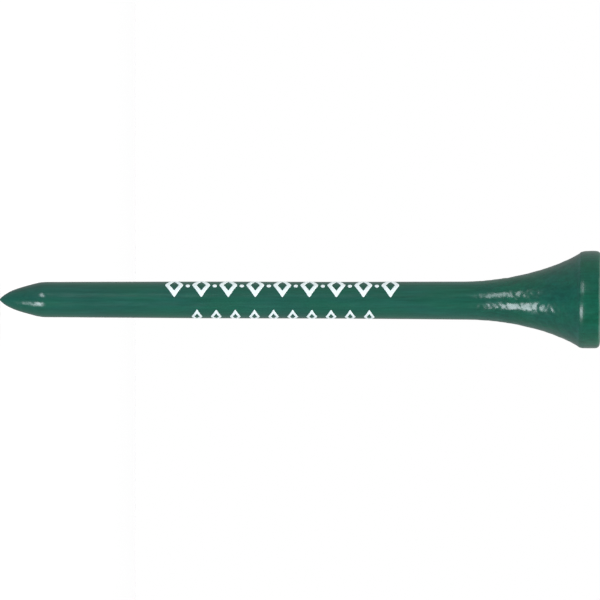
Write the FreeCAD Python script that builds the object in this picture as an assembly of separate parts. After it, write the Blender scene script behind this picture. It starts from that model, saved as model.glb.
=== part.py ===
import FreeCAD, Part
import math
import os

# Wooden golf tee, millimetres.
# The tee stands on its point: the point is at the origin and +Z runs up the
# axis to the rim of the cup.  It is one turned stick of birch, dipped in green
# lacquer, with two rows of white marks printed on the shank, one on each side
# of the -Y face.

# ---- overall ---------------------------------------------------------------
overall_length = 69.85          # 2-3/4 in, point to rim plane
coat_thickness = 0.10           # lacquer over the bare wood
ink_thickness = 0.030           # printed film, stands proud of the lacquer

# ---- point -----------------------------------------------------------------
# The blunted point is five sweeps, each tangent to the next, from square
# across the axis at the apex up to the shank.
point_sweeps = [
    # sweep radius, slope of the surface to the axis where it ends (degrees)
    (0.13, 46.4),
    (3.93, 29.5),
    (5.85, 17.8),
    (31.9, 13.5),
    (4.68, 0.30),
]

# ---- shank -----------------------------------------------------------------
shank_radius = 2.137            # the straight, parallel length
shank_high_radius = 2.2155      # where the flare starts
parallel_low_z = 24.0           # the parallel length, bottom and top
parallel_high_z = 40.0
core_taper = 0.006              # the bare wood is this much thinner at the bottom of it

# ---- flare and head --------------------------------------------------------
flare_start_z = 54.03
flare_low_radius = 31.75        # two concave sweeps, tangent to each other
flare_high_radius = 19.07
flare_blend_slope = 17.2        # slope to the axis where they meet, degrees
head_corner_z = 67.75           # about where the flare meets the band
head_radius = 5.700             # at the widest
head_widest_z = 68.92
band_crown_radius = 20.0        # the band is very slightly barrelled
head_corner_round = 0.60
rim_round = 0.50                # outer edge of the rim

# ---- cup -------------------------------------------------------------------
cup_mouth_radius = 4.80
cup_dish_radius = 9.30          # spherical dish
cup_edge_round = 0.12

# ---- printed marks ---------------------------------------------------------
# Angles are degrees about the axis, from the -Y face towards -X.
# The upper row is on the -X side: open lozenges with beads between them.
upper_row_low_z = 19.2
upper_row_high_z = 46.5
lozenge_count = 9
lozenge_width = 2.20            # along the shank
lozenge_start_deg = 7.0
lozenge_end_deg = 100.0
bead_radius = 0.25
bead_deg = 50.0

# The lower row is on the +X side: smaller open lozenges, no beads.
lower_row_low_z = 22.3
lower_row_high_z = 43.6
small_count = 10
small_width = 1.30              # along the shank
small_start_deg = -30.0
small_end_deg = -98.0

lozenge_opening = 0.50          # the opening, as a share of a lozenge's size
lozenge_side_steps = 4          # straight steps along each side
bead_sides = 24
sleeve_margin = 0.5             # ink sleeve beyond each end of the upper row
stamp_start = 0.8               # stamps run outwards from this far off the axis
stamp_length = 2.4

edge_tolerance = 0.01           # for finding an edge by its radius and height


# ===========================================================================
# outline helpers: points are (radius, height) in the X-Z half plane
# ===========================================================================
def half_plane(point):
    return FreeCAD.Vector(point[0], 0.0, point[1])


def line(start, end):
    return Part.LineSegment(half_plane(start), half_plane(end)).toShape()


def on_circle(centre, radius, deg):
    """Point on a circle; the angle is from +radius towards +Z."""
    angle = math.radians(deg)
    return (centre[0] + radius * math.cos(angle), centre[1] + radius * math.sin(angle))


def arc(centre, radius, start_deg, end_deg):
    degs = (start_deg, 0.5 * (start_deg + end_deg), end_deg)
    return Part.Arc(*[half_plane(on_circle(centre, radius, deg)) for deg in degs]).toShape()


def angle_at(centre, point):
    return math.degrees(math.atan2(point[1] - centre[1], point[0] - centre[0]))


def meet(centre_a, radius_a, centre_b, radius_b, near):
    """The point where two circles meet, the one closer to near."""
    dx, dz = centre_b[0] - centre_a[0], centre_b[1] - centre_a[1]
    gap = math.hypot(dx, dz)
    along = (radius_a ** 2 - radius_b ** 2 + gap ** 2) / (2 * gap)
    across = math.sqrt(radius_a ** 2 - along ** 2)
    foot_x, foot_z = centre_a[0] + along * dx / gap, centre_a[1] + along * dz / gap
    shift_x, shift_z = across * dz / gap, across * dx / gap
    points = [(foot_x - shift_x, foot_z + shift_z), (foot_x + shift_x, foot_z - shift_z)]
    return min(points, key=lambda p: math.hypot(p[0] - near[0], p[1] - near[1]))


# ===========================================================================
# centres of the sweeps, shared by the lacquered surface and the bare wood
# ===========================================================================
def lay_out_point():
    """Each sweep as (centre, radius, start angle, end angle), and its last point."""
    sweeps, radius, z, slope = [], 0.0, 0.0, 90.0
    for sweep_radius, end_slope in point_sweeps:
        angle = math.radians(slope)
        centre = (radius - sweep_radius * math.cos(angle), z + sweep_radius * math.sin(angle))
        radius, z = on_circle(centre, sweep_radius, -end_slope)
        sweeps.append((centre, sweep_radius, -slope, -end_slope))
        slope = end_slope
    return sweeps, radius, z


point_arcs, shank_low_radius, point_top_z = lay_out_point()

shank_slope = math.atan((shank_high_radius - shank_radius)
                        / (flare_start_z - parallel_high_z))
flare_start_deg = 180.0 - math.degrees(shank_slope)
flare_blend_deg = 180.0 - flare_blend_slope
flare_low_centre = (shank_high_radius + flare_low_radius * math.cos(shank_slope),
                    flare_start_z - flare_low_radius * math.sin(shank_slope))
blend_point = on_circle(flare_low_centre, flare_low_radius, flare_blend_deg)
flare_high_centre = on_circle(blend_point, flare_high_radius, -flare_blend_slope)

band_centre = (head_radius - band_crown_radius, head_widest_z)
rim_z = overall_length - rim_round
rim_centre = (band_centre[0] + math.sqrt((band_crown_radius - rim_round) ** 2
                                         - (rim_z - head_widest_z) ** 2),
              rim_z)
dish_centre = (0.0, overall_length + math.sqrt(cup_dish_radius ** 2
                                               - cup_mouth_radius ** 2))


def head_corner(inset):
    """Where the flare meets the band, inset from the lacquered surface."""
    return meet(flare_high_centre, flare_high_radius + inset,
                band_centre, band_crown_radius - inset,
                near=(head_radius, head_corner_z))


def outline(inset, taper=0.0):
    """Closed half outline of the tee, inset from the lacquered surface."""
    # point
    edges = [arc(centre, radius - inset, start, end)
             for centre, radius, start, end in point_arcs]

    # shank
    centre, radius, _, end = point_arcs[-1]
    shank = [
        on_circle(centre, radius - inset, end),
        (shank_radius - inset - taper, parallel_low_z),
        (shank_radius - inset, parallel_high_z),
        on_circle(flare_low_centre, flare_low_radius + inset, flare_start_deg),
    ]
    edges += [line(low, high) for low, high in zip(shank, shank[1:])]

    # flare
    corner = head_corner(inset)
    edges.append(arc(flare_low_centre, flare_low_radius + inset,
                     flare_start_deg, flare_blend_deg))
    edges.append(arc(flare_high_centre, flare_high_radius + inset,
                     flare_blend_deg, angle_at(flare_high_centre, corner)))

    # band and rim
    rim_deg = angle_at(band_centre, rim_centre)
    edges.append(arc(band_centre, band_crown_radius - inset,
                     angle_at(band_centre, corner), rim_deg))
    edges.append(arc(rim_centre, rim_round - inset, rim_deg, 90.0))

    # flat rim land, the dish down to the axis, and the axis
    top = overall_length - inset
    dish_radius = cup_dish_radius + inset
    mouth = (math.sqrt(dish_radius ** 2 - (dish_centre[1] - top) ** 2), top)
    edges.append(line((rim_centre[0], top), mouth))
    edges.append(arc(dish_centre, dish_radius, angle_at(dish_centre, mouth), -90.0))
    edges.append(line((0.0, dish_centre[1] - dish_radius), (0.0, inset)))
    return edges


# ===========================================================================
# solids
# ===========================================================================
def solid_of(shape):
    """The first solid of a shape, turned right side out."""
    solid = shape.Solids[0]
    if solid.Volume < 0:
        solid.reverse()
    return solid


def turned(edges):
    """The solid swept by a closed half outline about the axis."""
    face = Part.Face(Part.Wire(Part.__sortEdges__(edges)))
    axis = FreeCAD.Vector(0, 0, 1)
    return solid_of(face.revolve(FreeCAD.Vector(0, 0, 0), axis, 360.0))


def ring_edges(solid, radius, z):
    """The circular edges about the axis at this radius and height."""
    return [edge for edge in solid.Edges
            if not edge.Degenerated
            and isinstance(edge.Curve, Part.Circle)
            and abs(edge.Curve.Radius - radius) < edge_tolerance
            and abs(edge.Curve.Center.z - z) < edge_tolerance]


def make_body():
    """The whole lacquered tee."""
    body = turned(outline(0.0))
    body = body.makeFillet(head_corner_round, ring_edges(body, *head_corner(0.0)))
    body = body.makeFillet(cup_edge_round,
                           ring_edges(body, cup_mouth_radius, overall_length))
    return solid_of(body)


def make_wood_core():
    return turned(outline(coat_thickness, core_taper))


def make_lacquer_coat(wood_core):
    return solid_of(make_body().cut(wood_core))


# ===========================================================================
# printed marks: thin films on the shank, outlined by (angle, height) points
# ===========================================================================
def shank_radius_at(z):
    """Radius of the lacquered shank at a height."""
    if z < parallel_low_z:
        share = (z - point_top_z) / (parallel_low_z - point_top_z)
        return shank_low_radius + share * (shank_radius - shank_low_radius)
    if z > parallel_high_z:
        share = (z - parallel_high_z) / (flare_start_z - parallel_high_z)
        return shank_radius + share * (shank_high_radius - shank_radius)
    return shank_radius


def make_sleeve():
    """A sleeve of ink over the shank, long enough for both rows."""
    heights = [upper_row_low_z - sleeve_margin, parallel_low_z,
               parallel_high_z, upper_row_high_z + sleeve_margin]
    inner = [(shank_radius_at(z), z) for z in heights]
    outer = [(radius + ink_thickness, z) for radius, z in inner]
    loop = inner + outer[::-1]
    return turned([line(start, end) for start, end in zip(loop, loop[1:] + loop[:1])])


def outward_at(deg):
    angle = math.radians(deg)
    return FreeCAD.Vector(-math.sin(angle), -math.cos(angle), 0.0)


def stamp(points, middle_deg):
    """A prism through the shank's skin, facing outwards at its middle angle."""
    outward = outward_at(middle_deg)
    flat = []
    for deg, z in points:
        on_shank = outward_at(deg) * shank_radius + FreeCAD.Vector(0, 0, z)
        flat.append(on_shank - outward * on_shank.dot(outward) + outward * stamp_start)
    wire = Part.makePolygon(flat + [flat[0]])
    return Part.Face(wire).extrude(outward * stamp_length)


def lozenge_points(middle_deg, z, half_deg, half_width):
    """A lozenge about its middle, each side in equal steps."""
    tips = [(1, 0), (0, 1), (-1, 0), (0, -1)]
    points = []
    for (across, up), (next_across, next_up) in zip(tips, tips[1:] + tips[:1]):
        for i in range(lozenge_side_steps):
            share = i / lozenge_side_steps
            points.append((middle_deg + half_deg * (across + share * (next_across - across)),
                           z + half_width * (up + share * (next_up - up))))
    return points


def open_lozenge(sleeve, z, width, start_deg, end_deg):
    """A lozenge printed as an outline."""
    middle_deg = 0.5 * (start_deg + end_deg)
    half_deg, half_width = 0.5 * (end_deg - start_deg), width / 2
    whole = lozenge_points(middle_deg, z, half_deg, half_width)
    opening = lozenge_points(middle_deg, z, lozenge_opening * half_deg,
                             lozenge_opening * half_width)
    mark = sleeve.common(stamp(whole, middle_deg))
    return solid_of(mark.cut(stamp(opening, middle_deg)))


def bead(sleeve, z):
    half_deg = math.degrees(bead_radius / shank_radius)
    turns = [2 * math.pi * i / bead_sides for i in range(bead_sides)]
    points = [(bead_deg + half_deg * math.cos(turn), z + bead_radius * math.sin(turn))
              for turn in turns]
    return solid_of(sleeve.common(stamp(points, bead_deg)))


def row_heights(low_z, high_z, count, width):
    """Middles of equally spaced lozenges that fill the row end to end."""
    pitch = (high_z - low_z - width) / (count - 1)
    return [low_z + width / 2 + i * pitch for i in range(count)]


def make_upper_row(sleeve):
    heights = row_heights(upper_row_low_z, upper_row_high_z, lozenge_count, lozenge_width)
    marks = [open_lozenge(sleeve, z, lozenge_width, lozenge_start_deg, lozenge_end_deg)
             for z in heights]
    marks += [bead(sleeve, 0.5 * (low + high)) for low, high in zip(heights, heights[1:])]
    return Part.makeCompound(marks)


def make_lower_row(sleeve):
    heights = row_heights(lower_row_low_z, lower_row_high_z, small_count, small_width)
    return Part.makeCompound([
        open_lozenge(sleeve, z, small_width, small_start_deg, small_end_deg)
        for z in heights])


# ===========================================================================
# build and export
# ===========================================================================
wood_core = make_wood_core()
ink_sleeve = make_sleeve()
nodes = {
    "wood_core": wood_core,
    "lacquer_coat": make_lacquer_coat(wood_core),
    "imprint_upper_row": make_upper_row(ink_sleeve),
    "imprint_lower_row": make_lower_row(ink_sleeve),
}

os.makedirs("parts", exist_ok=True)
for name, shape in nodes.items():
    shape.exportStep(os.path.join("parts", name + ".step"))
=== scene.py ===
import bpy
import math
import numpy as np
from mathutils import Matrix, Vector


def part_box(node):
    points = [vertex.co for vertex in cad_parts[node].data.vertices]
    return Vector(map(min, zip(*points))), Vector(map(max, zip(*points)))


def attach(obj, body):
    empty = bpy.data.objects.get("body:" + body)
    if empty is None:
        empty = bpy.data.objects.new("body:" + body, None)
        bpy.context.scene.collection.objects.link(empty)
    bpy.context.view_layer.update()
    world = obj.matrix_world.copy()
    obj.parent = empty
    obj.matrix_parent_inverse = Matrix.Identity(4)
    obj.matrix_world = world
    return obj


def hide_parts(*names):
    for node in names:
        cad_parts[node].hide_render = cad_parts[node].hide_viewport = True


# A lacquered birch tee, standing on its point along +Z with its axis at x = y = 0.
# A turned stick, its coat of lacquer and two printed rows of open lozenges stand
# for their CAD nodes.  Lengths are millimetres until they go into a mesh; angles
# round the axis (theta) start at -Y and grow towards +X.

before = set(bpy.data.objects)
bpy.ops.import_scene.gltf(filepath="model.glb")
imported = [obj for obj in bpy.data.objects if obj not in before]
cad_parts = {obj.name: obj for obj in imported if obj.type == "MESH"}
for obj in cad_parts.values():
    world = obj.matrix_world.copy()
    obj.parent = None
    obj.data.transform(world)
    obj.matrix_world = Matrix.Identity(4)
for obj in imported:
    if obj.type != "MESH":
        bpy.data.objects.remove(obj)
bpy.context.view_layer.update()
foot, head_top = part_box("lacquer_coat")
MM = 0.001
LENGTH = (head_top[2] - foot[2]) / MM
COAT = 0.100                     # thickness of the lacquer
WOOD_GAP = 0.001                 # keeps the wood clear of the inside of the coat
COAT_SEGMENTS, WOOD_SEGMENTS = 240, 72

# ---------------------------------------------------------------------------
# lattice value noise with smooth blending, the same every run
# ---------------------------------------------------------------------------


def lattice(ix, iy, iz, seed):
    """A value from -1 to 1 for each lattice point, from mixing its bits."""
    bits = (ix.astype(np.int64) * 374761393 + iy.astype(np.int64) * 668265263
            + iz.astype(np.int64) * 2147483647 + seed * 144665) & 0xFFFFFFFF
    bits = ((bits ^ (bits >> 13)) * 1274126177) & 0xFFFFFFFF
    bits = ((bits ^ (bits >> 16)) * 2246822519) & 0xFFFFFFFF
    bits = bits ^ (bits >> 15)
    return (bits & 0xFFFFFF).astype(np.float64) / 0xFFFFFF * 2.0 - 1.0


def noise(x, y, z, seed, size=(1.0, 1.0, 1.0)):
    """Value noise whose cells have the given size along each coordinate."""
    x, y, z = np.broadcast_arrays(*(np.asarray(v, float) / d
                                    for v, d in zip((x, y, z), size)))
    ix, iy, iz = np.floor(x), np.floor(y), np.floor(z)
    blend_x, blend_y, blend_z = (f * f * f * (f * (f * 6 - 15) + 10)
                                 for f in (x - ix, y - iy, z - iz))
    total = 0.0
    for dx in (0, 1):
        for dy in (0, 1):
            for dz in (0, 1):
                weight = ((blend_x if dx else 1 - blend_x)
                          * (blend_y if dy else 1 - blend_y)
                          * (blend_z if dz else 1 - blend_z))
                total = total + weight * lattice(ix + dx, iy + dy, iz + dz, seed)
    return total


def layered_noise(x, y, z, seed, octaves, gain=0.5):
    value, amplitude, frequency, total = 0.0, 1.0, 1.0, 0.0
    for octave in range(octaves):
        value = value + amplitude * noise(x * frequency, y * frequency, z * frequency,
                                          seed + 17 * octave)
        total += amplitude
        amplitude *= gain
        frequency *= 2.03
    return value / total


def smoothstep(low, high, x):
    t = np.clip((x - low) / (high - low), 0.0, 1.0)
    return t * t * (3 - 2 * t)


# ---------------------------------------------------------------------------
# the outline, as (radius, height) points
# ---------------------------------------------------------------------------
SPACING = 0.01                   # between neighbouring points of the outline
# arcs of the point from the apex up: (arc radius, slope where it ends, degrees)
POINT_ARCS = [(0.13, 46.4), (3.93, 29.5), (5.85, 17.8), (31.9, 13.5), (4.68, 0.30)]
SHAFT_R, SHAFT_HIGH_R = 2.137, 2.2155          # parallel part, and foot of the flare
SHAFT_LOW_Z, SHAFT_MID_Z, FLARE_Z = 24.0, 40.0, 54.03
FLARE_LOW_ARC, FLARE_HIGH_ARC = 31.75, 19.07   # arc radii of the flare
FLARE_DEG = 17.2                               # slope where the two arcs meet
HEAD_R, HEAD_Z, CROWN_ARC = 5.670, 68.92, 20.0 # widest place and arc of the head's side
NEAR_CORNER = (HEAD_R, 67.75)                  # picks the right meeting of two circles
RIM_ROUND = 0.50
CUP_R, DISH_ARC = 4.80, 9.30
CORNER_SOFT, LIP_SOFT = 0.38, 0.13             # averaging widths that soften the edges


def arc_points(centre, radius, start, end):
    count = max(8, int(abs(math.radians(end - start)) * radius / SPACING))
    t = np.radians(np.linspace(start, end, count + 1))
    return np.stack([centre[0] + radius * np.cos(t), centre[1] + radius * np.sin(t)], 1)


def line_points(start, end):
    count = max(2, int(math.hypot(end[0] - start[0], end[1] - start[1]) / SPACING))
    t = np.linspace(0, 1, count + 1)[:, None]
    return np.array(start)[None] * (1 - t) + np.array(end)[None] * t


def circle_meet(centre0, radius0, centre1, radius1, near):
    """The meeting point of two circles that lies closer to near."""
    dx, dz = centre1[0] - centre0[0], centre1[1] - centre0[1]
    gap = math.hypot(dx, dz)
    reach = (radius0 * radius0 - radius1 * radius1 + gap * gap) / (2 * gap)
    half = math.sqrt(max(radius0 * radius0 - reach * reach, 0.0))
    mid_x, mid_z = centre0[0] + reach * dx / gap, centre0[1] + reach * dz / gap
    both = [(mid_x - half * dz / gap, mid_z + half * dx / gap),
            (mid_x + half * dz / gap, mid_z - half * dx / gap)]
    return min(both, key=lambda q: math.hypot(q[0] - near[0], q[1] - near[1]))


def bearing(centre, point):
    return math.degrees(math.atan2(point[1] - centre[1], point[0] - centre[0]))


def arc_lengths(points):
    return np.r_[0, np.cumsum(np.hypot(*np.diff(points, axis=0).T))]


def nearest(points, radius, z):
    return int(np.hypot(points[:, 0] - radius, points[:, 1] - z).argmin())


def point_parts():
    """The arcs of the point, and the place where the last one ends."""
    parts = []
    r, z, slope = 0.0, 0.0, 90.0
    for radius, end_slope in POINT_ARCS:
        start, end = math.radians(slope), math.radians(end_slope)
        centre = (r - radius * math.cos(start), z + radius * math.sin(start))
        parts.append(arc_points(centre, radius, -slope, -end_slope))
        r, z = centre[0] + radius * math.cos(end), centre[1] - radius * math.sin(end)
        slope = end_slope
    return parts, (r, z)


def soften(points, corner, width):
    """Average the points about a corner, twice."""
    i = nearest(points, *corner)
    window = int(width / SPACING)
    low, high = max(0, i - 4 * window), min(len(points), i + 4 * window)
    for _ in range(2):
        soft = points.copy()
        for j in range(low, high):
            soft[j] = points[j - window // 2:j + window // 2 + 1].mean(0)
        points = soft
    return points


def outline():
    """Even, dense points from the apex, up the outside, over the rim and down
    to the middle of the cup."""
    parts, point_end = point_parts()
    slope = math.atan((SHAFT_HIGH_R - SHAFT_R) / (FLARE_Z - SHAFT_MID_Z))
    bend = math.radians(FLARE_DEG)
    low = (SHAFT_HIGH_R + FLARE_LOW_ARC * math.cos(slope),
           FLARE_Z - FLARE_LOW_ARC * math.sin(slope))
    meet = (low[0] - FLARE_LOW_ARC * math.cos(bend),
            low[1] + FLARE_LOW_ARC * math.sin(bend))
    high = (meet[0] + FLARE_HIGH_ARC * math.cos(bend),
            meet[1] - FLARE_HIGH_ARC * math.sin(bend))
    crown = (HEAD_R - CROWN_ARC, HEAD_Z)
    rim_z = LENGTH - RIM_ROUND
    rim = (crown[0] + math.sqrt((CROWN_ARC - RIM_ROUND) ** 2 - (rim_z - HEAD_Z) ** 2), rim_z)
    lip = (CUP_R, LENGTH)
    dish = (0.0, LENGTH + math.sqrt(DISH_ARC ** 2 - CUP_R ** 2))
    corner = circle_meet(high, FLARE_HIGH_ARC, crown, CROWN_ARC, NEAR_CORNER)
    rim_start = bearing(crown, rim)
    parts += [
        line_points(point_end, (SHAFT_R, SHAFT_LOW_Z)),
        line_points((SHAFT_R, SHAFT_LOW_Z), (SHAFT_R, SHAFT_MID_Z)),
        line_points((SHAFT_R, SHAFT_MID_Z), (SHAFT_HIGH_R, FLARE_Z)),
        arc_points(low, FLARE_LOW_ARC, 180 - math.degrees(slope), 180 - FLARE_DEG),
        arc_points(high, FLARE_HIGH_ARC, 180 - FLARE_DEG, bearing(high, corner)),
        arc_points(crown, CROWN_ARC, bearing(crown, corner), rim_start),
        arc_points(rim, RIM_ROUND, rim_start, 90.0),
        line_points((rim[0], LENGTH), lip),
        arc_points(dish, DISH_ARC, bearing(dish, lip), -90.0)]
    points = np.concatenate(parts)
    points = points[np.r_[True, np.hypot(*np.diff(points, axis=0).T) > 1e-6]]
    lengths = arc_lengths(points)
    even = np.linspace(0, lengths[-1], int(lengths[-1] / SPACING) + 1)
    points = np.stack([np.interp(even, lengths, points[:, 0]),
                       np.interp(even, lengths, points[:, 1])], 1)
    # paint leaves the crisp edges soft
    points = soften(points, corner, CORNER_SOFT)
    points = soften(points, lip, LIP_SOFT)
    points[0] = (0.0, 0.0)
    points[-1, 0] = 0.0
    return points


PATH = outline()
PATH_LENGTHS = arc_lengths(PATH)
TANGENT = np.gradient(PATH, PATH_LENGTHS, axis=0)
TANGENT /= np.hypot(TANGENT[:, 0], TANGENT[:, 1])[:, None]
# outward: to the right of the direction of travel
NORMAL = np.stack([TANGENT[:, 1], -TANGENT[:, 0]], 1)
WIDEST = int(np.argmax(PATH[:, 0]))


def outline_at(along):
    """Radius, height and normal (radial, vertical) at an arc length."""
    return [np.interp(along, PATH_LENGTHS, column) for column in (*PATH.T, *NORMAL.T)]


def along_at(z):
    """Arc length of a height on the outside, below the head's widest place."""
    return np.interp(z, PATH[:WIDEST, 1], PATH_LENGTHS[:WIDEST])


# arc lengths of places on the outline
AT_POINT_TOP = float(along_at(6.4))
AT_FLARE = float(along_at(53.4))
AT_EDGE = float(along_at(67.67))               # the corner under the head
AT_BAND = PATH_LENGTHS[WIDEST]
AT_RIM = float(PATH_LENGTHS[nearest(PATH, HEAD_R - 0.15, LENGTH - 0.15)])
AT_LIP = float(PATH_LENGTHS[nearest(PATH, CUP_R, LENGTH)])
AT_CUP = PATH_LENGTHS[-1]                      # the middle of the cup

# ---------------------------------------------------------------------------
# small departures from a perfect turning
# ---------------------------------------------------------------------------
# how strongly each noise shows in each zone, mm
GRAIN_RELIEF = dict(grain=0.0035, fine=0.0010)
FLARE_RELIEF = dict(marks=0.0130, cross_marks=0.0110, peel=0.0090, dimple=0.0070)
POINT_RELIEF = dict(marks=0.0060, cross_marks=0.0045, peel=0.0040)
SHAFT_RELIEF = dict(peel=0.0010, soft=0.0022)
CUP_RELIEF = dict(ripple=0.0050, peel=0.0040)
# growth rings run a little askew: sideways drift per mm of height
GRAIN_DRIFT_X, GRAIN_DRIFT_Y = 0.012, -0.020
# the low bead of paint below the corner: drop along the outline, width, height,
# fall in height per mm towards +X, and unevenness
BEAD_DROP, BEAD_WIDTH, BEAD_HEIGHT = 0.24, 0.20, 0.048
BEAD_TILT, BEAD_UNEVEN = 0.005, 0.008
HOLLOW = 0.030                   # depth of the shallow hollow around the bead
RIM_WEAR, RIM_WEAR_WIDTH = 0.100, 0.46
# the stick's bow: (height, sideways offset along X)
BOW = np.array([(0.0, -0.060), (7.0, -0.060), (14.0, -0.045), (24.0, -0.020),
                (36.0, 0.005), (48.0, 0.035), (54.5, 0.060), (57.0, 0.040),
                (60.0, 0.028), (66.8, -0.024), (68.2, -0.066), (70.5, -0.072)])
HEAD_LEAN, HEAD_NOD = 0.024, 0.030             # slopes of the head along X and Y


def surface_noises(theta, along, radius, z):
    x, y = radius * np.sin(theta), -radius * np.cos(theta)
    ring_x, ring_y = x + GRAIN_DRIFT_X * z, y + GRAIN_DRIFT_Y * z
    return dict(
        # wood grain, running up the stick
        grain=layered_noise(ring_x * 2.6, ring_y * 2.6, z * 0.085,
                            seed=11, octaves=3, gain=0.55),
        fine=layered_noise(ring_x * 7.0, ring_y * 7.0, z * 0.30,
                           seed=29, octaves=2, gain=0.6),
        # tool marks, slanting both ways and broken
        marks=noise(along - 0.60 * x, x, y, seed=41, size=(0.40, 1.0, 1.0)),
        cross_marks=noise(along + 0.45 * x, x, y, seed=43, size=(0.62, 0.85, 0.85)),
        # the flow of the lacquer
        peel=noise(x, y, along, seed=61, size=(0.42, 0.42, 0.42)),
        dimple=noise(x, y, along, seed=83, size=(0.26, 0.26, 0.25)),
        soft=noise(x, y, along, seed=67, size=(0.9, 0.9, 1.6)),
        # rings round the cup
        ripple=noise(radius, np.sin(theta), np.cos(theta), seed=71, size=(0.36, 2.0, 2.0)))


def relief(theta, along):
    """How far the painted surface stands off the outline."""
    radius, z, _, _ = outline_at(along)
    x, y = radius * np.sin(theta), -radius * np.cos(theta)
    noises = surface_noises(theta, along, radius, z)

    def mixed(weights):
        return sum(weight * noises[name] for name, weight in weights.items())

    outside = 1.0 - smoothstep(AT_BAND + 0.9, AT_BAND + 1.6, along)
    flare = smoothstep(53.8, 56.8, z) * (1 - smoothstep(66.4, 67.5, z)) * outside
    point = (1 - smoothstep(5.4, 6.6, z)) * outside
    height = mixed(GRAIN_RELIEF)
    height = height + flare * mixed(FLARE_RELIEF)
    height = height + point * mixed(POINT_RELIEF)
    height = height + (1 - flare) * (1 - point) * outside * mixed(SHAFT_RELIEF)
    height = height + (1.0 - outside) * smoothstep(0.4, 1.6, radius) * mixed(CUP_RELIEF)
    bead = np.exp(-((along - AT_EDGE + BEAD_DROP) / BEAD_WIDTH) ** 2)
    height = height + bead * (BEAD_HEIGHT - BEAD_TILT * np.clip(x, -2.0, 2.0)
                              + BEAD_UNEVEN * noise(x, y, 0.5, seed=91, size=(1.3, 1.3, 1.0)))
    height = height - HOLLOW * smoothstep(65.0, 66.6, z) * (1 - smoothstep(67.5, 67.9, z))
    # the apex and the middle of the cup stay closed and smooth
    return height * smoothstep(0.05, 0.7, radius)


def settle(x, y, z):
    """Bow the stick along X and lean its head."""
    bow = np.zeros_like(np.asarray(z, float))
    for dz in (-1.2, -0.6, 0.0, 0.6, 1.2):
        bow = bow + np.interp(z + dz, BOW[:, 0], BOW[:, 1]) / 5
    lean = smoothstep(63.0, 67.6, z)
    # the corner nods towards -Y; the rim tips slightly the other way
    nod = lean * (1 - 1.25 * smoothstep(67.9, 69.6, z))
    return np.stack([x + bow, y, z - HEAD_LEAN * x * lean + HEAD_NOD * y * nod], -1)


def worn_rim(theta, along):
    """The rim is rubbed rounder on its -X side."""
    side = smoothstep(0.10, 0.95, -np.sin(theta))
    return RIM_WEAR * side * np.exp(-((along - AT_RIM) / RIM_WEAR_WIDTH) ** 2)


def surface(theta, along, lift=0.0, rough=True):
    """Points of the surface, lifted along its normal."""
    theta, along = np.broadcast_arrays(np.asarray(theta, float), np.asarray(along, float))
    r, z, normal_r, normal_z = outline_at(along)
    height = (relief(theta, along) if rough else 0.0) + lift - worn_rim(theta, along)
    r, z = np.maximum(r + normal_r * height, 0.0), z + normal_z * height
    return settle(r * np.sin(theta), -r * np.cos(theta), z)


# ---------------------------------------------------------------------------
# the coat and the wood
# ---------------------------------------------------------------------------


def make_object(name, verts, faces):
    mesh = bpy.data.meshes.new(name)
    mesh.from_pydata([tuple(v) for v in (np.asarray(verts) * MM)], [], faces)
    mesh.validate()
    mesh.polygons.foreach_set("use_smooth", [True] * len(mesh.polygons))
    mesh.update()
    ob = bpy.data.objects.new(name, mesh)
    bpy.context.scene.collection.objects.link(ob)
    return ob


def ring_steps(knots):
    """Places along the outline, spaced as the (place, spacing) knots ask."""
    places, spacings = np.array(knots).T
    middles = 0.5 * (PATH_LENGTHS[1:] + PATH_LENGTHS[:-1])
    count = np.r_[0, np.cumsum(np.diff(PATH_LENGTHS) / np.interp(middles, places, spacings))]
    rings = int(round(count[-1]))
    return np.interp(np.linspace(0, count[-1], rings + 1)[1:-1], count, PATH_LENGTHS)


def coat_steps():
    return ring_steps([
        (0, 0.022), (0.25, 0.035), (1.2, 0.10), (AT_POINT_TOP - 0.3, 0.12),
        (AT_POINT_TOP + 0.6, 0.62), (AT_FLARE - 0.6, 0.62), (AT_FLARE + 0.5, 0.125),
        (AT_EDGE - 0.5, 0.115), (AT_EDGE - 0.2, 0.045), (AT_EDGE + 0.25, 0.045),
        (AT_EDGE + 0.5, 0.13), (AT_BAND, 0.13), (AT_BAND + 0.45, 0.06),
        (AT_BAND + 1.25, 0.06), (AT_LIP - 0.12, 0.05), (AT_LIP + 0.14, 0.035),
        (AT_LIP + 0.5, 0.12), (AT_CUP - 0.6, 0.125), (AT_CUP - 0.1, 0.07),
        (AT_CUP, 0.05)])


def wood_steps():
    """The wood needs fewer rings, and none right on a pole."""
    places = ring_steps([
        (0, 0.10), (1.5, 0.18), (AT_POINT_TOP, 0.25), (AT_POINT_TOP + 1, 2.4),
        (AT_FLARE - 1, 2.4), (AT_FLARE, 0.5), (AT_EDGE - 0.6, 0.4),
        (AT_EDGE, 0.09), (AT_EDGE + 0.3, 0.12), (AT_BAND, 0.3),
        (AT_BAND + 0.4, 0.09), (AT_BAND + 1.25, 0.09), (AT_LIP, 0.07),
        (AT_LIP + 0.4, 0.2), (AT_CUP, 0.3)])
    radius, _, normal_r, _ = outline_at(places)
    return places[radius - normal_r * COAT > 0.05]


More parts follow.
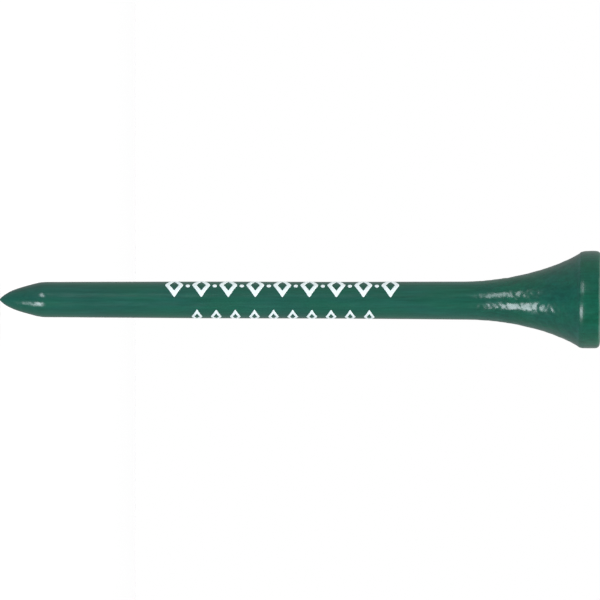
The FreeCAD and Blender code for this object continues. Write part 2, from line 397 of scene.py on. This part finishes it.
def turned_shell(places, segments, lift, rough, inward=False):
    """A closed turned surface with a ring at each place and a pole at each end."""
    theta = np.arange(segments) * 2 * math.pi / segments
    rings = surface(theta[None, :], places[:, None], lift, rough).reshape(-1, 3)
    apex = settle(0.0, 0.0, float(PATH[0, 1]) - lift)
    cup = settle(0.0, 0.0, float(PATH[-1, 1]) + lift)
    verts = [apex] + list(rings) + [cup]
    faces = []
    for i in range(len(places) - 1):
        below, above = 1 + i * segments, 1 + (i + 1) * segments
        for j in range(segments):
            k = (j + 1) % segments
            faces.append((below + j, below + k, above + k, above + j))
    last, top_ring = len(verts) - 1, 1 + (len(places) - 1) * segments
    for j in range(segments):
        k = (j + 1) % segments
        faces += [(0, 1 + k, 1 + j), (last, top_ring + j, top_ring + k)]
    if inward:
        faces = [face[::-1] for face in faces]
    return verts, faces


def lacquer_skin():
    """The coat: its painted outside, and its inside against the wood."""
    verts, faces = turned_shell(coat_steps(), COAT_SEGMENTS, lift=0.0, rough=True)
    inner_verts, inner_faces = turned_shell(wood_steps(), WOOD_SEGMENTS, lift=-COAT,
                                            rough=False, inward=True)
    start = len(verts)
    faces += [tuple(start + v for v in face) for face in inner_faces]
    return make_object("lacquer_skin", verts + inner_verts, faces)


def wood_stick():
    verts, faces = turned_shell(wood_steps(), WOOD_SEGMENTS, lift=-COAT - WOOD_GAP,
                                rough=False)
    return make_object("birch_stick", verts, faces)


# ---------------------------------------------------------------------------
# the printed rows: films of ink, placed by height and by degrees from -Y
# towards -X
# ---------------------------------------------------------------------------
UPPER_ROW = dict(bottom=19.2, top=46.5, count=9, height=2.20, start=7.0, end=100.0)
LOWER_ROW = dict(bottom=22.3, top=43.6, count=10, height=1.30, start=-30.0, end=-98.0)
OPENING = 0.50                   # a lozenge's opening, as a part of its size
DOT_R, DOT_DEG = 0.25, 50.0      # the dots between the upper lozenges
DOT_GRID = 13
LOZENGE_STEPS = 88               # round a lozenge
INK_TOP, INK_UNDER = 0.028, 0.020  # film above and below the painted surface
EDGE_WOBBLE = 0.012              # unevenness of a print's edge
DEG_PER_MM = math.degrees(1 / SHAFT_R)


def uneven_edge(degrees, z, seed):
    """Push a mark in and out, most at its outer edge."""
    wobble = EDGE_WOBBLE * layered_noise(degrees * 0.45, z * 12.0, 0.0, seed, octaves=2)
    across, up = (degrees - degrees.mean()) / DEG_PER_MM, z - z.mean()
    distance = np.maximum(np.hypot(across, up), 1e-6)
    reach = np.clip(distance / distance[-1].min(), 0, 1) ** 2
    return (degrees + across / distance * wobble * reach * DEG_PER_MM,
            z + up / distance * wobble * reach)


def film_faces(rows, cols, closed):
    """Top, underside and edges of a film; closed joins its last column to its first."""
    faces = []
    low = rows * cols
    for i in range(rows - 1):
        for j in range(cols if closed else cols - 1):
            k = (j + 1) % cols
            a, b = i * cols + j, (i + 1) * cols + j
            c, d = (i + 1) * cols + k, i * cols + k
            faces += [(a, b, c, d), (low + d, low + c, low + b, low + a)]
    if closed:
        last = (rows - 1) * cols
        for j in range(cols):
            k = (j + 1) % cols
            faces += [(k, low + k, low + j, j),
                      (last + j, low + last + j, low + last + k, last + k)]
        return faces
    rim = list(range(cols)) + [i * cols + cols - 1 for i in range(1, rows)] \
        + [(rows - 1) * cols + j for j in range(cols - 2, -1, -1)] \
        + [i * cols for i in range(rows - 2, 0, -1)]
    for a, b in zip(rim, rim[1:] + rim[:1]):
        faces.append((a, b, low + b, low + a))
    return faces


def film(degrees, z, lift, closed, seed):
    """One film of ink from a grid of angles, heights and relative thicknesses."""
    rows, cols = degrees.shape
    degrees, z = uneven_edge(degrees, z, seed)
    theta, along = -np.radians(degrees), along_at(z)
    top = surface(theta, along, INK_TOP * lift).reshape(-1, 3)
    under = surface(theta, along, -INK_UNDER).reshape(-1, 3)
    # wind outward whichever way the grid was laid, judged by the whole film: a
    # dot's corner cells have next to no area
    grid = top.reshape(rows, cols, 3)
    normal = np.cross(grid[1:, :-1] - grid[:-1, :-1],
                      grid[:-1, 1:] - grid[:-1, :-1]).sum((0, 1))
    outward = normal @ np.array([top[:, 0].mean(), top[:, 1].mean(), 0]) > 0
    faces = film_faces(rows, cols, closed)
    if not outward:
        faces = [face[::-1] for face in faces]
    return list(top) + list(under), faces


def mark_z(row, i):
    """Height of the middle of mark i; halves fall between the marks."""
    pitch = (row["top"] - row["bottom"] - row["height"]) / (row["count"] - 1)
    return row["bottom"] + row["height"] / 2 + i * pitch


def lozenges(row):
    """Open lozenges: each once round its four sides, from the opening outwards."""
    turn = np.arange(LOZENGE_STEPS) / LOZENGE_STEPS * 4
    side, part = np.floor(turn).astype(int) % 4, turn - np.floor(turn)
    tips = np.array([(1, 0), (0, 1), (-1, 0), (0, -1)], float)
    ring = tips[side] * (1 - part)[:, None] + tips[(side + 1) % 4] * part[:, None]
    # the tips are a touch rounded, as ink sets
    blunt = 1.0 - 0.05 * np.exp(-((np.minimum(part, 1 - part)) / 0.06) ** 2)
    # the film thins out towards both of its edges
    reach = np.array([0.0, 0.06, 0.14, 0.38, 0.62, 0.86, 0.94, 1.0])
    lift = np.array([0.35, 0.80, 1.0, 1.0, 1.0, 1.0, 0.80, 0.35])
    scale = OPENING + (1 - OPENING) * reach
    across = ring[:, 0][None] * scale[:, None] * blunt[None]
    up = ring[:, 1][None] * scale[:, None] * blunt[None]
    middle, half = 0.5 * (row["start"] + row["end"]), 0.5 * (row["end"] - row["start"])
    return [(middle + half * across, mark_z(row, i) + row["height"] / 2 * up,
             np.repeat(lift[:, None], LOZENGE_STEPS, 1), True)
            for i in range(row["count"])]


def dots(row):
    """Filled round dots between the lozenges, from a square grid pressed round."""
    t = np.linspace(-1, 1, DOT_GRID)
    square_x, square_y = np.meshgrid(t, t, indexing="ij")
    across = square_x * np.sqrt(1 - square_y ** 2 / 2)
    up = square_y * np.sqrt(1 - square_x ** 2 / 2)
    # the film thins out over its two outermost rings of points
    inset = np.minimum(np.arange(DOT_GRID), DOT_GRID - 1 - np.arange(DOT_GRID))
    ring = np.minimum(inset[:, None], inset[None, :])
    lift = np.array([0.45, 0.86, 1.0])[np.minimum(ring, 2)]
    return [(DOT_DEG + DOT_R * DEG_PER_MM * across, mark_z(row, i + 0.5) + DOT_R * up,
             lift, False) for i in range(row["count"] - 1)]


def ink_row(name, marks):
    verts, faces = [], []
    for seed, mark in enumerate(marks, start=300):
        new_verts, new_faces = film(*mark, seed)
        start = len(verts)
        verts += new_verts
        faces += [tuple(start + v for v in face) for face in new_faces]
    return make_object(name, verts, faces)


# ---------------------------------------------------------------------------
# materials
# ---------------------------------------------------------------------------


class Nodes:
    """A shorthand for building node trees."""

    def __init__(self, tree):
        self.tree = tree
        self.tree.nodes.clear()

    def add(self, kind, inputs=None, **props):
        node = self.tree.nodes.new("ShaderNode" + kind)
        for key, value in props.items():
            setattr(node, key, value)
        for key, value in (inputs or {}).items():
            if isinstance(value, bpy.types.NodeSocket):
                self.tree.links.new(value, node.inputs[key])
            else:
                node.inputs[key].default_value = value
        return node

    def math(self, op, a, b=None, clamp=False):
        inputs = {0: a} if b is None else {0: a, 1: b}
        return self.add("Math", inputs, operation=op, use_clamp=clamp).outputs[0]

    def swing(self, value, by):
        """A 0..1 value turned to swing about zero, times by."""
        return self.math("MULTIPLY", self.math("SUBTRACT", value, 0.5), by)

    def mapped(self, value, span, to=(0.0, 1.0), smooth=True):
        return self.add("MapRange", {0: value, 1: span[0], 2: span[1], 3: to[0], 4: to[1]},
                        interpolation_type="SMOOTHSTEP" if smooth else "LINEAR",
                        clamp=True).outputs[0]

    def scaled(self, vector, by):
        return self.add("VectorMath", {0: vector, 1: by}, operation="MULTIPLY").outputs[0]

    def noise(self, place, per_mm, detail, rough, distort=0.0):
        """Noise at a frequency per mm: one number, or one for each axis."""
        scale = per_mm
        if isinstance(per_mm, tuple):
            place, scale = self.scaled(place, per_mm), 1.0
        return self.add("TexNoise", {"Vector": place, "Scale": scale, "Detail": detail,
                                     "Roughness": rough, "Distortion": distort},
                        noise_dimensions="3D").outputs[0]

    def mix(self, factor, a, b, blend="MIX"):
        return self.add("Mix", {0: factor, 6: a, 7: b}, data_type="RGBA",
                        blend_type=blend).outputs[2]

    def axis(self, place, name):
        return self.add("SeparateXYZ", {0: place}).outputs[name]

    def millimetres(self):
        place = self.add("TexCoord").outputs["Object"]
        return self.scaled(place, (1000.0, 1000.0, 1000.0))

    def surface(self, colour, rough, ior, height, strength, distance):
        """Bumped surface to the output; distance is in metres."""
        bump = self.add("Bump", {"Strength": strength, "Distance": distance,
                                 "Height": height})
        shader = self.add("BsdfPrincipled", {"Base Color": colour, "Roughness": rough,
                                             "IOR": ior, "Normal": bump.outputs[0]})
        self.add("OutputMaterial", {"Surface": shader.outputs[0]})


def rgb(r, g, b):
    return (r, g, b, 1.0)


def new_material(name):
    material = bpy.data.materials.new(name)
    material.use_nodes = True
    return material, Nodes(material.node_tree)


def lacquer_tone(nodes, place, pores, z):
    """0..1, from the coat's dark places to its light ones."""
    # grain of the wood, drawn out along the stick
    streak = nodes.noise(place, per_mm=(3.4, 3.4, 0.16), detail=4.0, rough=0.62, distort=0.25)
    cloud = nodes.noise(place, per_mm=(0.55, 0.55, 0.11), detail=2.0, rough=0.5)
    speck = nodes.noise(place, per_mm=5.5, detail=2.0, rough=0.6)
    # spots that come in over the flare
    mottle = nodes.noise(place, per_mm=(1.5, 1.5, 1.1), detail=3.0, rough=0.62)
    on_flare = nodes.mapped(z, span=(53.0, 59.0), to=(0.0, 1.9))
    tone = nodes.swing(streak, by=1.5)
    for value, amount in ((pores, 0.8), (cloud, 0.9), (speck, 0.35), (mottle, on_flare)):
        tone = nodes.math("ADD", tone, nodes.swing(value, by=amount))
    return nodes.math("ADD", tone, 0.5, clamp=True)


def lacquer_colour(nodes, place, tone, x, z):
    # deeper green towards the head
    deep = nodes.mapped(z, span=(48.0, 68.0), smooth=False)
    shaft = nodes.mix(tone, rgb(0.0080, 0.076, 0.0525), rgb(0.0130, 0.119, 0.0820))
    head = nodes.mix(tone, rgb(0.0025, 0.077, 0.0465), rgb(0.0050, 0.117, 0.0700))
    colour = nodes.mix(deep, shaft, head)
    # the pigment drifts a little between bluer and yellower green
    drift = nodes.mapped(nodes.noise(place, per_mm=(0.42, 0.42, 0.13), detail=2.0, rough=0.55),
                         span=(0.36, 0.64))
    tint = nodes.mix(drift, rgb(1.10, 0.93, 1.04), rgb(0.80, 1.05, 0.90))
    colour = nodes.mix(0.55, colour, tint, blend="MULTIPLY")
    # painted shade: the coat's colour is made a shade darker towards -X
    painted_shade_minus_x = nodes.mapped(x, span=(-2.6, 1.2), to=(1.0, 0.0))
    return nodes.mix(painted_shade_minus_x, colour, rgb(0.86, 0.86, 0.87), blend="MULTIPLY")


def lacquer_roughness(nodes, place, x, z):
    coat = nodes.noise(place, per_mm=(1.4, 1.4, 0.5), detail=3.0, rough=0.6)
    rough = nodes.mapped(coat, span=(0.3, 0.7), to=(0.155, 0.215))
    # the corner under the head is rubbed and less glossy, most towards +X
    from_corner = nodes.math("ABSOLUTE", nodes.math("SUBTRACT", z, 67.60))
    rub = nodes.mapped(x, span=(-1.2, 0.6), to=(0.045, 0.08))
    at_corner = nodes.mapped(from_corner, span=(0.12, 0.50), to=(1.0, 0.0))
    rough = nodes.math("ADD", rough, nodes.math("MULTIPLY", rub, at_corner))
    # duller from the flare up, glossier again on the head
    rough = nodes.math("ADD", rough, nodes.mapped(z, span=(53.5, 57.0), to=(0.0, 0.030)))
    return nodes.math("SUBTRACT", rough, nodes.mapped(z, span=(67.4, 68.1), to=(0.0, 0.045)))


def lacquer_material():
    material, nodes = new_material("green_lacquer_over_birch")
    place = nodes.millimetres()
    x, z = nodes.axis(place, "X"), nodes.axis(place, "Z")
    pores = nodes.noise(place, per_mm=(9.0, 9.0, 0.55), detail=2.0, rough=0.55)
    tone = lacquer_tone(nodes, place, pores, z)
    peel = nodes.noise(place, per_mm=4.2, detail=2.0, rough=0.5)
    height = nodes.math("ADD", nodes.math("MULTIPLY", peel, 0.7),
                        nodes.math("MULTIPLY", pores, 0.5))
    nodes.surface(lacquer_colour(nodes, place, tone, x, z),
                  lacquer_roughness(nodes, place, x, z),
                  ior=1.5, height=height, strength=0.30, distance=0.000012)
    return material


def ink_material():
    material, nodes = new_material("white_printing_ink")
    place = nodes.millimetres()
    fine = nodes.noise(place, per_mm=7.0, detail=3.0, rough=0.6)
    grain = nodes.noise(place, per_mm=(7.0, 7.0, 0.5), detail=2.0, rough=0.6)
    cover = nodes.math("ADD", nodes.math("MULTIPLY", grain, 0.6),
                       nodes.math("MULTIPLY", fine, 0.4))
    # the green shows a little where the ink is thin
    thin = nodes.mapped(cover, span=(0.30, 0.52), to=(1.0, 0.0))
    colour = nodes.mix(nodes.math("MULTIPLY", thin, 0.30), rgb(0.90, 0.965, 0.95),
                       rgb(0.30, 0.52, 0.45))
    nodes.surface(colour, nodes.mapped(fine, span=(0.3, 0.7), to=(0.42, 0.56)),
                  ior=1.48, height=fine, strength=0.35, distance=0.00001)
    return material


def birch_material():
    material, nodes = new_material("bare_birch")
    place = nodes.millimetres()
    rings = nodes.noise(place, per_mm=(1.1, 0.35, 0.03), detail=3.0, rough=0.5, distort=0.3)
    band = nodes.mapped(nodes.math("FRACT", nodes.math("MULTIPLY", rings, 9.0)),
                        span=(0.0, 1.0))
    fibre = nodes.noise(place, per_mm=(14.0, 14.0, 0.5), detail=3.0, rough=0.6)
    ray = nodes.mapped(nodes.noise(place, per_mm=(6.0, 20.0, 1.6), detail=1.0, rough=0.5),
                       span=(0.66, 0.74))
    colour = nodes.mix(band, rgb(0.66, 0.47, 0.285), rgb(0.56, 0.375, 0.21))
    colour = nodes.mix(nodes.math("MULTIPLY", fibre, 0.45), colour, rgb(0.74, 0.57, 0.37))
    colour = nodes.mix(nodes.math("MULTIPLY", ray, 0.35), colour, rgb(0.38, 0.23, 0.12))
    nodes.surface(colour, nodes.mapped(fibre, span=(0.3, 0.7), to=(0.52, 0.74)),
                  ior=1.45, height=fibre, strength=0.5, distance=0.00003)
    return material


# ---------------------------------------------------------------------------
# the tee
# ---------------------------------------------------------------------------
skin = lacquer_skin()
stick = wood_stick()
upper = ink_row("printed_upper_row", lozenges(UPPER_ROW) + dots(UPPER_ROW))
lower = ink_row("printed_lower_row", lozenges(LOWER_ROW))
lacquer, ink, birch = lacquer_material(), ink_material(), birch_material()

for ob, material, node, slot in (
        (stick, birch, "wood_core", "birch_wood"),
        (skin, lacquer, "lacquer_coat", "green_lacquer"),
        (upper, ink, "imprint_upper_row", "white_ink"),
        (lower, ink, "imprint_lower_row", "white_ink")):
    ob.data.materials.append(material)
    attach(ob, "root")
    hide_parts(node)

# ---------------------------------------------------------------------------
# stage: a plain pale floor, a pale room, three soft lamps; metres from here on
# ---------------------------------------------------------------------------
FLOOR_R, FLOOR_SIDES, FLOOR_GAP = 1.6, 96, 0.00002
LAMP_AIM_Z = 0.045
VIEW_WIDTH = 69.711 * MM         # seen across the picture at the tee
CAMERA_X, CAMERA_Z = -0.0116185 * MM, 34.907783 * MM   # from the axis, above the foot
# room brightness from -Y (0) to +Y (1): dimmest behind the camera
ROOM_LEVELS = [(0.0, 0.165), (0.18, 0.19), (0.40, 0.335), (0.64, 0.42), (0.75, 0.48),
               (0.93, 0.40), (1.0, 0.36)]
scene = bpy.context.scene


def build_world():
    """White to the camera; to everything else a room of uneven brightness."""
    world = bpy.data.worlds.new("studio")
    scene.world = world
    world.use_nodes = True
    nodes = Nodes(world.node_tree)
    camera_ray = nodes.add("LightPath").outputs["Is Camera Ray"]
    direction = nodes.add("TexCoord").outputs["Generated"]
    x, y, z = nodes.add("SeparateXYZ", {0: direction}).outputs
    base = nodes.add("FloatCurve", {1: nodes.mapped(y, span=(-1.0, 1.0), smooth=False)})
    curve = base.mapping.curves[0]
    curve.points[0].location, curve.points[-1].location = ROOM_LEVELS[0], ROOM_LEVELS[-1]
    for place, level in ROOM_LEVELS[1:-1]:
        curve.points.new(place, level)
    base.mapping.update()
    # brighter overhead and towards -X, cooler below
    overhead = nodes.mapped(z, span=(0.42, 0.85), to=(0.0, 1.60))
    side = nodes.mapped(nodes.math("MULTIPLY", x, -1.0), span=(0.20, 0.95), to=(0.0, 0.08))
    cool = nodes.mapped(nodes.math("MULTIPLY", z, -1.0), span=(0.25, 0.75))
    room = nodes.math("ADD", nodes.math("ADD", base.outputs[0], overhead), side)
    cool_rgb = (0.0, 0.10, 0.20)
    channels = [nodes.math("ADD", room, nodes.math("MULTIPLY", cool, amount))
                for amount in cool_rgb]
    seen = nodes.add("CombineColor", {i: nodes.math("MAXIMUM", camera_ray, channel)
                                      for i, channel in enumerate(channels)})
    background = nodes.add("Background", {"Color": seen.outputs[0], "Strength": 1.0})
    nodes.add("OutputWorld", {"Surface": background.outputs[0]})


def build_floor():
    mesh = bpy.data.meshes.new("floor")
    ring = [(FLOOR_R * math.cos(a), FLOOR_R * math.sin(a), 0.0)
            for a in np.linspace(0, 2 * math.pi, FLOOR_SIDES + 1)[:-1]]
    mesh.from_pydata(ring, [], [tuple(range(FLOOR_SIDES))])
    floor = bpy.data.objects.new("floor", mesh)
    scene.collection.objects.link(floor)
    floor.location = (0, 0, foot[2] - FLOOR_GAP)
    material, nodes = new_material("pale_floor")
    diffuse = nodes.add("BsdfDiffuse", {"Color": rgb(0.74, 0.74, 0.74)})
    nodes.add("OutputMaterial", {"Surface": diffuse.outputs[0]})
    mesh.materials.append(material)
    floor.visible_shadow = False
    floor.visible_glossy = False
    floor.visible_diffuse = False


def lamp(name, azimuth, elevation, distance, width, height, power, colour=(1, 1, 1)):
    """A soft box; azimuth from -Y towards +X, elevation above the horizon, degrees."""
    a, e = math.radians(azimuth), math.radians(elevation)
    toward = Vector((math.sin(a) * math.cos(e), -math.cos(a) * math.cos(e), math.sin(e)))
    light = bpy.data.lights.new(name, "AREA")
    light.shape = "RECTANGLE"
    light.size, light.size_y = width, height
    light.energy = power
    light.color = colour
    ob = bpy.data.objects.new(name, light)
    ob.location = Vector((0, 0, LAMP_AIM_Z)) + toward * distance
    ob.rotation_mode = "QUATERNION"
    ob.rotation_quaternion = toward.to_track_quat("Z", "Y")
    scene.collection.objects.link(ob)


def build_camera():
    """Looking along +Y through a long lens: +Z to the picture's right, -X up."""
    data = bpy.data.cameras.new("camera")
    data.type = "PERSP"
    data.lens = 1000.0
    data.sensor_width = 36.0
    data.clip_start, data.clip_end = 0.01, 10.0
    camera = bpy.data.objects.new("camera", data)
    scene.collection.objects.link(camera)
    distance = VIEW_WIDTH * data.lens / data.sensor_width
    right, up, back = Vector((0, 0, 1)), Vector((-1, 0, 0)), Vector((0, -1, 0))
    turn = Matrix((right, up, back)).transposed().to_4x4()
    camera.matrix_world = Matrix.Translation((CAMERA_X, -distance, foot[2] + CAMERA_Z)) @ turn
    scene.camera = camera


scene.view_settings.view_transform = "Standard"
scene.view_settings.look = "None"
scene.view_settings.exposure = 0.0
scene.view_settings.gamma = 1.0
build_world()
build_floor()
COOL = (0.88, 0.94, 1.0)
lamp("key_low", azimuth=31.3, elevation=-21.5, distance=1.5, width=0.64, height=0.42,
     power=12.2, colour=COOL)
lamp("fill_high", azimuth=-28.8, elevation=-14.5, distance=1.5, width=0.62, height=0.30,
     power=4.9, colour=COOL)
lamp("top_front", azimuth=-28.0, elevation=50.0, distance=1.3, width=1.30, height=1.30,
     power=6.4)
build_camera()
